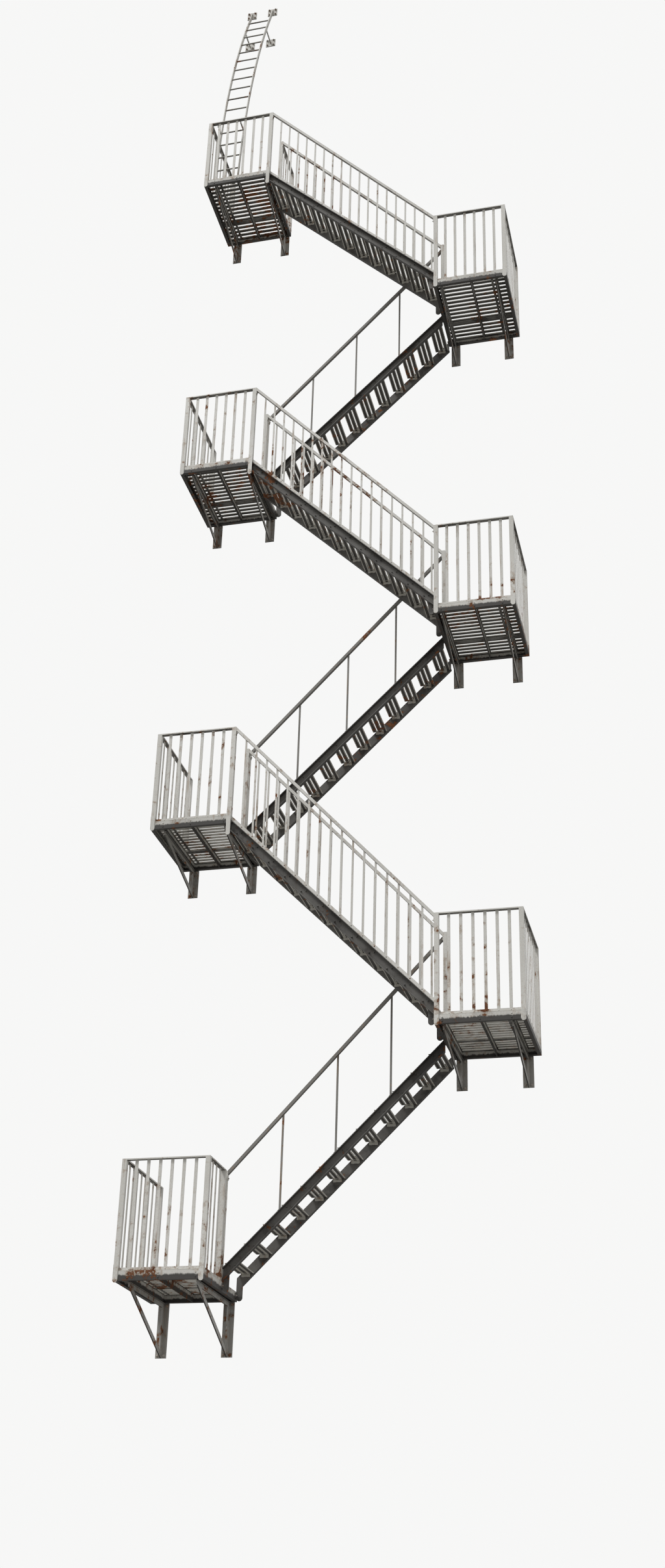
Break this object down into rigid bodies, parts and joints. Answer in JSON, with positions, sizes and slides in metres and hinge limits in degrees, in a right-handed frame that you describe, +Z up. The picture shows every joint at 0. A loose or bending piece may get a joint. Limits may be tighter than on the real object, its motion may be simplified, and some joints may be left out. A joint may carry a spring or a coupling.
{
  "type": "fire escape stair",
  "caption": "Zig-zag steel wall stair with slatted landings on brackets, crossing flights, barred railings and a roof ladder that bows back to the wall.",
  "frame": {"origin": "middle of the back face of the lowest left bracket's wall plate", "axes": "+Z up, +X along the wall to the right as seen from the street, +Y into the wall"},
  "size_m": [4.26, 1.208, 20.8013],
  "materials": {
    "stair_paint": "weathered pale paint, rust at edges and joints",
    "railing_paint": "weathered pale paint, chipped, rust at joints",
    "floor_steel": "worn pale paint with rust along the slat edges",
    "tread_steel": "paint worn by feet, dirty and rusty at the angles",
    "ladder_paint": "weathered pale paint, worn on the rungs"
  },
  "bodies": {
    "root": {"landing_1_frame": "stair_paint", "landing_2_frame": "stair_paint", "landing_3_frame": "stair_paint", "landing_4_frame": "stair_paint", "landing_5_frame": "stair_paint", "landing_6_frame": "stair_paint", "landing_7_frame": "stair_paint", "landing_1_floor": "floor_steel", "landing_2_floor": "floor_steel", "landing_3_floor": "floor_steel", "landing_4_floor": "floor_steel", "landing_5_floor": "floor_steel", "landing_6_floor": "floor_steel", "landing_7_floor": "floor_steel", "landing_1_railing": "railing_paint", "landing_2_railing": "railing_paint", "landing_3_railing": "railing_paint", "landing_4_railing": "railing_paint", "landing_5_railing": "railing_paint", "landing_6_railing": "railing_paint", "landing_7_railing": "railing_paint", "flight_1_stringers": "stair_paint", "flight_2_stringers": "stair_paint", "flight_3_stringers": "stair_paint", "flight_4_stringers": "stair_paint", "flight_5_stringers": "stair_paint", "flight_6_stringers": "stair_paint", "flight_1_treads": "tread_steel", "flight_2_treads": "tread_steel", "flight_3_treads": "tread_steel", "flight_4_treads": "tread_steel", "flight_5_treads": "tread_steel", "flight_6_treads": "tread_steel", "flight_1_railing": "railing_paint", "flight_2_railing": "railing_paint", "flight_3_railing": "railing_paint", "flight_4_railing": "railing_paint", "flight_5_railing": "railing_paint", "flight_6_railing": "railing_paint", "left_brackets": "stair_paint", "right_brackets": "stair_paint", "roof_ladder": "ladder_paint", "ladder_rungs": "ladder_paint", "ladder_stays": "ladder_paint"}
  },
  "joints": []
}
